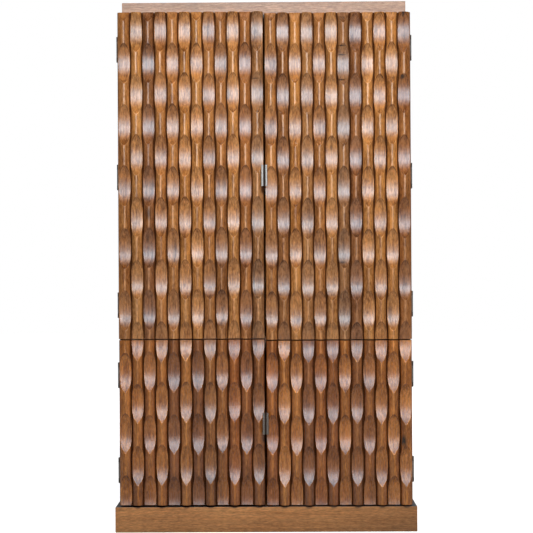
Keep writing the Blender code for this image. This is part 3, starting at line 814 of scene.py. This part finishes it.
def add_slats(row, side):
    """The slats of one door, and the dark web behind them."""
    prefix = f"{row}_{side}"
    node = f"{prefix}_carved_front"
    low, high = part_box(node)
    pitch = (high.x - low.x) / SLATS_PER_DOOR
    last = SLATS_PER_DOOR - 1
    low_hang = HANG[side] if row == "upper" else FOOT_HANG[side]
    for index, word in enumerate(SLAT_TONES[prefix].split()):
        number = index + (0 if side == "left" else SLATS_PER_DOOR)
        rng = random.Random(SEEDS_PER_ROW * DOOR_ROWS.index(row) + number)
        shift = 0.5 * SCOOP_SPACING * (number % 2) + HANG[side] + PATTERN_LIFT[side]
        factor = 1 + rng.uniform(-1, 1) * TONE_SPREAD
        tone_and_painted_light = [factor * part * tint for part, tint in zip(TONES[word], ROW_PAINTED_SHADE[row])]
        reaches = [0.5 * pitch - SLAT_PLAY, 0.5 * pitch - SLAT_PLAY]
        straight = [index == 0, index == last]
        if side == "left" and index == 0:
            reaches[0] += EDGE_REACH[row]
        if side == "right" and index == last:
            reaches[1] += EDGE_REACH[row]
        place = (low.x + (index + 0.5) * pitch, low.y, low.z + low_hang, high.z + HANG[side])
        name = f"{prefix}_slat_{index + 1:02d}"
        mesh = slat_mesh(name, row, place, reaches, straight, shift, tone_and_painted_light, rng)
        add_piece(name, mesh, f"{row}_slat", body_of(node), [node])
    name = f"{prefix}_groove_back"
    back_low = low + Vector((0.0, SLAT_THICKNESS, low_hang))
    mesh = groove_back_mesh(name, back_low, high + Vector((0.0, 0.0, HANG[side])))
    add_piece(name, mesh, "groove", body_of(node), [node])


# Pulls: a strip bent round the meeting edge, with a lip over the front
PULL_THICKNESS = 0.0017
PULL_BEND = 0.0042
PULL_LIP_REACH = 0.0007
PULL_END_REACH = 0.0012
PULL_EDGE = 0.00035
PULL_SMOOTH_ANGLE = 20.0
BEND_STEPS = 8


def arc(middle, radius, first, last, steps=BEND_STEPS):
    """Points along an arc between two angles in degrees."""
    points = []
    for step in range(steps + 1):
        angle = math.radians(first + (last - first) * step / steps)
        points.append((middle[0] + radius * math.cos(angle), middle[1] + radius * math.sin(angle)))
    return points


def add_pull(row, side):
    """The pull of one door. The plan is drawn for the right door and mirrored for the left one."""
    node = f"{row}_{side}_pull"
    low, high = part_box(node)
    near = min(abs(low.x), abs(high.x))
    far = max(abs(low.x), abs(high.x)) + PULL_LIP_REACH
    bend = (near + PULL_BEND, low.y + PULL_BEND)
    tip = (far - 0.5 * PULL_THICKNESS, low.y + 0.5 * PULL_THICKNESS)
    outline = [(near, high.y)] + arc(bend, PULL_BEND, 180, 270)
    outline += arc(tip, 0.5 * PULL_THICKNESS, 270, 450, 2 * BEND_STEPS)
    outline += arc(bend, PULL_BEND - PULL_THICKNESS, 270, 180) + [(near + PULL_THICKNESS, high.y)]
    outline = [(SIDES[side] * x, y) for x, y in outline]
    name = f"{node}_bent"
    ends = (low.z - PULL_END_REACH, high.z + PULL_END_REACH)
    mesh = prism_mesh(name, outline, *ends, PULL_EDGE, PULL_SMOOTH_ANGLE)
    add_piece(name, mesh, f"{row}_pull", body_of(node), [node])


# Case, plinth and door boards
BOARD_EDGE = 0.0012
CASE_BOARDS = {
    "plinth_front_rail": ("plinth", "plinth_wood"),
    "plinth_left_rail": ("plinth_side", "plinth_wood"),
    "plinth_right_rail": ("plinth_side", "plinth_wood"),
    "bottom_board": ("across", "case_wood"),
    "side_panel_left": ("side", "case_wood"),
    "side_panel_right": ("side", "case_wood"),
    "middle_board": ("across", "case_wood"),
    "top_board": ("top", "case_wood"),
    "back_panel": ("back", "inner_wood"),
    "lower_shelf": ("shelf", "inner_wood"),
    "upper_shelf_low": ("shelf", "inner_wood"),
    "upper_shelf_high": ("shelf", "inner_wood"),
}


def add_boards():
    for node, (material, slot) in CASE_BOARDS.items():
        # the plinth rails' upward faces get the painted shade of the plinth's top
        dress_node(node, material, BOARD_EDGE, "painted_plinth_shade" if slot == "plinth_wood" else None)


def add_door(row, side):
    prefix = f"{row}_{side}"
    dress_node(f"{prefix}_door_board", "door", BOARD_EDGE)
    add_slats(row, side)
    add_pull(row, side)


# Fittings: hinges, catches, strike plates and the nails of the back panel
FITTING_SMOOTH_ANGLE = 40.0
SCREW_RADIUS = 0.0030
SCREW_BEVEL = 0.0004
SCREW_DOME = 0.00008
SCREW_SINK = 0.0006
SCREW_SIDE_ANGLE = 25.0
CROSS_REACH = 0.0018
CROSS_HALF_WIDTH = 0.00045
CROSS_DEPTH = 0.0004
CROSS_ARMS = 4
ARM_ANGLE = 360.0 / CROSS_ARMS
ANGLE_PLAY = 1e-9
LEAF_SCREW_LEVELS = (-0.031, 0.0, 0.031)
LEAF_SCREW_INSETS = (0.0100, 0.0065, 0.0100)
PLATE_EDGE_REACH = 0.002
HINGE_EDGE = 0.00018
PIN_EDGE = 0.0005


def add_screw(bm, place, normal):
    """A flush cross-slotted screw head at a place on a face with this normal."""
    turn = Vector((0.0, 0.0, 1.0)).rotation_difference(Vector(normal)).to_matrix()
    corner = math.degrees(math.atan2(CROSS_HALF_WIDTH, CROSS_REACH))
    steps = (-SCREW_SIDE_ANGLE, -corner, 0.0, corner, SCREW_SIDE_ANGLE, 0.5 * ARM_ANGLE)
    angles = [ARM_ANGLE * arm + step for arm in range(CROSS_ARMS) for step in steps]

    def ring(height, radius=None):
        verts = []
        for angle in angles:
            to_arm = math.radians(abs((angle + 0.5 * ARM_ANGLE) % ARM_ANGLE - 0.5 * ARM_ANGLE))
            reach = radius
            if radius is None and to_arm <= math.radians(corner) + ANGLE_PLAY:
                reach = CROSS_REACH / math.cos(to_arm)
            elif radius is None:
                reach = CROSS_HALF_WIDTH / math.sin(to_arm)
            heading = math.radians(angle)
            spot = Vector((reach * math.cos(heading), reach * math.sin(heading), height))
            verts.append(bm.verts.new(Vector(place) + turn @ spot))
        return verts

    side = [ring(-SCREW_SINK, SCREW_RADIUS), ring(0.0, SCREW_RADIUS)]
    dome = ring(SCREW_DOME, SCREW_RADIUS - SCREW_BEVEL)
    cross = [ring(SCREW_DOME), ring(SCREW_DOME - CROSS_DEPTH)]
    join_rings(bm, side + [dome] + cross)


def add_fitting(name, bm, material, node):
    mesh = finished_mesh(name, bm, FITTING_SMOOTH_ANGLE)
    add_piece(name, mesh, material, body_of(node), [node])


def add_leaf(node, material, normal_y):
    """A hinge leaf with its screws. The screws are on the face that meets the other leaf."""
    low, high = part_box(node)
    bm = softened_copy(node, HINGE_EDGE, segments=1)
    inward = 1.0 if low.x < 0.0 else -1.0
    plate_edge = low.x if low.x > 0.0 else high.x
    plates = [vert.co.y for vert in bm.verts if abs(vert.co.x - plate_edge) < PLATE_EDGE_REACH]
    face = min(plates) if normal_y < 0.0 else max(plates)
    for level, inset in zip(LEAF_SCREW_LEVELS, LEAF_SCREW_INSETS):
        place = (plate_edge - inward * inset, face, 0.5 * (low.z + high.z) + level)
        add_screw(bm, place, (0.0, normal_y, 0.0))
    add_fitting(f"{node}_dressed", bm, material, node)


def add_hinges():
    for node in list(frame["nodes"]):
        if node.endswith("_frame_leaf"):
            add_leaf(node, "hinge", -1.0)
        if node.endswith("_door_leaf"):
            # the door leaves take the paler copy of the bronze, a painted reflection
            add_leaf(node, "hinge_lit", 1.0)
        if node.endswith("_pin"):
            bm = softened_copy(node, PIN_EDGE, segments=3)
            add_fitting(f"{node}_dressed", bm, "hinge", node)


CATCH_EDGE = 0.0012
CATCH_SCREW_SPREAD = 0.0215
POLE_NEAR = 0.0060
POLE_FAR = 0.0240
POLE_HEIGHT = 0.0014
POLE_APART = 0.0060
POLE_REACH = 0.00025
POLE_DEPTH = 0.004
STRIKE_EDGE = 0.0003


def box_mesh(bm, low, high):
    """Adds a closed box to a mesh."""
    made = bmesh.ops.create_cube(bm, size=1.0)["verts"]
    middle = 0.5 * (Vector(low) + Vector(high))
    for vert in made:
        vert.co = middle + Vector(part * (top - bottom) for part, bottom, top in zip(vert.co, low, high))


def add_catch(row):
    """A magnetic catch: plastic housing, two steel poles towards each door and two screws from below."""
    node = f"{row}_magnetic_catch"
    low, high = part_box(node)
    middle = 0.5 * (low + high)
    name = f"{node}_dressed"
    mesh = finished_mesh(name, softened_copy(node, CATCH_EDGE, segments=3))
    add_piece(name, mesh, "catch", body_of(node), [node])
    bm = bmesh.new()
    for side in (-1, 1):
        near, far = sorted((side * POLE_NEAR, side * POLE_FAR))
        for level in (middle.z - 0.5 * POLE_APART, middle.z + 0.5 * POLE_APART):
            pole_low = (middle.x + near, low.y - POLE_REACH, level - 0.5 * POLE_HEIGHT)
            pole_high = (middle.x + far, low.y + POLE_DEPTH, level + 0.5 * POLE_HEIGHT)
            box_mesh(bm, pole_low, pole_high)
        add_screw(bm, (middle.x + side * CATCH_SCREW_SPREAD, middle.y, low.z), (0.0, 0.0, -1.0))
    add_fitting(f"{node}_poles", bm, "strike", node)


def add_strike(row, side):
    node = f"{row}_{side}_strike_plate"
    low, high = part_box(node)
    bm = softened_copy(node, STRIKE_EDGE)
    add_screw(bm, (0.5 * (low.x + high.x), high.y, 0.5 * (low.z + high.z)), (0.0, 1.0, 0.0))
    add_fitting(f"{node}_dressed", bm, "strike", node)


# A nail head is a stack of rings, as (height over the panel, share of the radius)
NAIL_PROFILE = ((-0.001, 1.0), (0.0001, 1.0), (0.0003, 0.6))
NAIL_SIDES = 12
NAIL_RADIUS = 0.0019
NAIL_SPACING = 0.14
NAIL_INSET = 0.012
NAILED_BOARDS = (
    "bottom_board",
    "middle_board",
    "top_board",
    "lower_shelf",
    "upper_shelf_low",
    "upper_shelf_high",
)


def add_nails():
    """Flat nail heads round the edge of the back panel and along the boards behind it."""
    low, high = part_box("back_panel")
    left, right = low.x + NAIL_INSET, high.x - NAIL_INSET
    spots = []
    for board in NAILED_BOARDS:
        board_low, board_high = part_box(board)
        level = min(high.z - NAIL_INSET, max(low.z + NAIL_INSET, 0.5 * (board_low.z + board_high.z)))
        count = round((right - left) / NAIL_SPACING)
        spots += [(left + step * (right - left) / count, level) for step in range(count + 1)]
    count = round((high.z - low.z) / NAIL_SPACING)
    for x in (left, right):
        spots += [(x, low.z + step * (high.z - low.z) / count) for step in range(1, count)]
    last_angle = 360.0 - 360.0 / NAIL_SIDES
    bm = bmesh.new()
    for spot in spots:
        rings = []
        for height, share in NAIL_PROFILE:
            points = arc(spot, share * NAIL_RADIUS, 0.0, last_angle, NAIL_SIDES - 1)
            rings.append([bm.verts.new((x, high.y + height, z)) for x, z in points])
        join_rings(bm, rings)
    add_fitting("back_panel_nails", bm, "strike", "back_panel")


# Floor and world
WHITE = colour(1.0, 1.0, 1.0)
FLOOR_SIZE = 30.0
FLOOR_FADE = (1.8, 6.0)
FLOOR_GLOW = (0.86, 1.0)
FLOOR_LIT = colour(0.55, 0.55, 0.55)
FLOOR_DIM = colour(0.20, 0.19, 0.18)
FLOOR_MIRRORED = 0.22
STUDIO_BACK = (-0.1, 0.6)
STUDIO_MIRRORED = (0.03, 0.30)
WORLD_FILL = 0.035


def seen_rays(shader, mirrored):
    """1 for rays that show the stage itself, from the camera or through glass, and less for mirrored ones."""
    path = shader.add("ShaderNodeLightPath").outputs
    seen = shader.maths("MAXIMUM", path["Is Camera Ray"], path["Is Transmission Ray"])
    return shader.maths("MAXIMUM", seen, shader.maths("MULTIPLY", path["Is Glossy Ray"], mirrored))


def add_floor():
    """A pale floor that goes over to white and keeps the shadow of the object."""
    material, shader = new_shader("pale_floor")
    glow = shader.remap(shader.length(shader.place()), *FLOOR_FADE, *FLOOR_GLOW)
    shown = shader.add("ShaderNodeEmission", {"Color": WHITE, "Strength": glow}).outputs[0]
    lit = shader.add("ShaderNodeBsdfDiffuse", {"Color": FLOOR_LIT}).outputs[0]
    both = shader.add("ShaderNodeAddShader", {0: shown, 1: lit}).outputs[0]
    dim = shader.add("ShaderNodeBsdfDiffuse", {"Color": FLOOR_DIM}).outputs[0]
    seen = seen_rays(shader, FLOOR_MIRRORED)
    shader.output(shader.add("ShaderNodeMixShader", {0: seen, 1: dim, 2: both}).outputs[0])
    half = 0.5 * FLOOR_SIZE
    corners = [(-half, -half, 0.0), (half, -half, 0.0), (half, half, 0.0), (-half, half, 0.0)]
    mesh = bpy.data.meshes.new("floor")
    mesh.from_pydata(corners, [], [(0, 1, 2, 3)])
    mesh.materials.append(material)
    floor = bpy.data.objects.new("floor", mesh)
    bpy.context.scene.collection.objects.link(floor)


def add_world():
    """White where it is seen, a dim studio where it is mirrored, and a weak even fill as light."""
    world = bpy.data.worlds.new("studio")
    bpy.context.scene.world = world
    world.use_nodes = True
    shader = Shader(world.node_tree)
    direction = shader.add("ShaderNodeTexCoord").outputs["Generated"]
    seen = seen_rays(shader, shader.remap(shader.along("Y", direction), *STUDIO_BACK, *STUDIO_MIRRORED))
    strength = shader.maths("MAXIMUM", seen, WORLD_FILL)
    background = shader.add("ShaderNodeBackground", {"Color": WHITE, "Strength": strength}).outputs[0]
    shader.add("ShaderNodeOutputWorld", {"Surface": background})


# Lamps. The keys show only as reflections in lacquer and metal, and the fills only as light on matt surfaces
KEY_COLOUR = (0.78, 1.05, 1.27)
FILL_COLOUR = (1.00, 0.98, 0.95)
NARROW_SPREAD = math.radians(60.0)
WIDE_SPREAD = math.radians(180.0)


def add_softbox(name, place, aim, size, power, spread, mirrored):
    lamp = bpy.data.lights.new(name, "AREA")
    lamp.shape = "RECTANGLE"
    lamp.size, lamp.size_y = size
    lamp.energy = power
    lamp.color = KEY_COLOUR if mirrored else FILL_COLOUR
    lamp.spread = spread
    holder = bpy.data.objects.new(name, lamp)
    holder.location = place
    holder.rotation_euler = (Vector(aim) - Vector(place)).to_track_quat("-Z", "Y").to_euler()
    holder.visible_camera = False
    holder.visible_glossy = mirrored
    holder.visible_diffuse = not mirrored
    bpy.context.scene.collection.objects.link(holder)


def add_key(name, place, aim, size, power):
    add_softbox(name, place, aim, size, power, NARROW_SPREAD, mirrored=True)


def add_fill(name, place, aim, size, power, spread=WIDE_SPREAD):
    add_softbox(name, place, aim, size, power, spread, mirrored=False)


def add_lamps():
    add_key("key_softbox", place=(0.0, -7.3, 2.9), aim=(0.0, -0.2, 2.1), size=(4.6, 2.0), power=16.9)
    add_key("key_halo", place=(0.0, -7.4, 3.3), aim=(0.0, -0.2, 2.1), size=(5.2, 4.2), power=26.0)
    add_key("key_glow", place=(0.0, -7.4, 0.72), aim=(0.0, -0.2, 0.6), size=(5.2, 1.3), power=2.25)
    add_fill("fill_softbox", place=(0.3, -5.0, 2.3), aim=(0.0, -0.2, 1.25), size=(1.6, 1.0), power=1.2,
             spread=NARROW_SPREAD)
    add_fill("overhead_softbox", place=(0.4, -2.9, 4.4), aim=(0.0, -0.2, 1.0), size=(1.6, 0.7), power=218.0)
    add_fill("left_softbox", place=(-4.6, 1.6, 2.0), aim=(-0.5, 0.1, 0.9), size=(2.0, 2.0), power=62.0)
    add_fill("right_softbox", place=(4.6, 1.6, 2.0), aim=(0.5, 0.1, 0.9), size=(2.0, 2.0), power=62.0)
    add_fill("back_softbox", place=(0.0, 5.2, 2.4), aim=(0.0, 0.3, 0.9), size=(2.6, 2.0), power=85.0)


# Camera, fitted to points on the cabinet's edges in the photograph's frame of 533 x 533 pixels.
# Its angles are in radians
CAMERA_PLACE = (0.0414, -4.7225, 0.8677)
CAMERA_PITCH = 0.0057
CAMERA_ROLL = 0.0056
CAMERA_YAW = 0.0080
FOCAL_PIXELS = 1339.05
FRAME_PIXELS = 533
SENSOR_WIDTH = 36.0


def add_camera():
    camera = bpy.data.cameras.new("camera")
    camera.sensor_width = SENSOR_WIDTH
    camera.lens = SENSOR_WIDTH * FOCAL_PIXELS / FRAME_PIXELS
    holder = bpy.data.objects.new("camera", camera)
    holder.location = CAMERA_PLACE
    holder.rotation_euler = (0.5 * math.pi + CAMERA_PITCH, CAMERA_ROLL, CAMERA_YAW)
    bpy.context.scene.collection.objects.link(holder)
    bpy.context.scene.camera = holder


# The whole scene
add_boards()
for row in DOOR_ROWS:
    for side in SIDES:
        add_door(row, side)
add_hinges()
add_nails()
for row in DOOR_ROWS:
    add_catch(row)
    for side in SIDES:
        add_strike(row, side)
add_floor()
add_world()
add_lamps()
add_camera()
bpy.context.scene.view_settings.view_transform = "Standard"
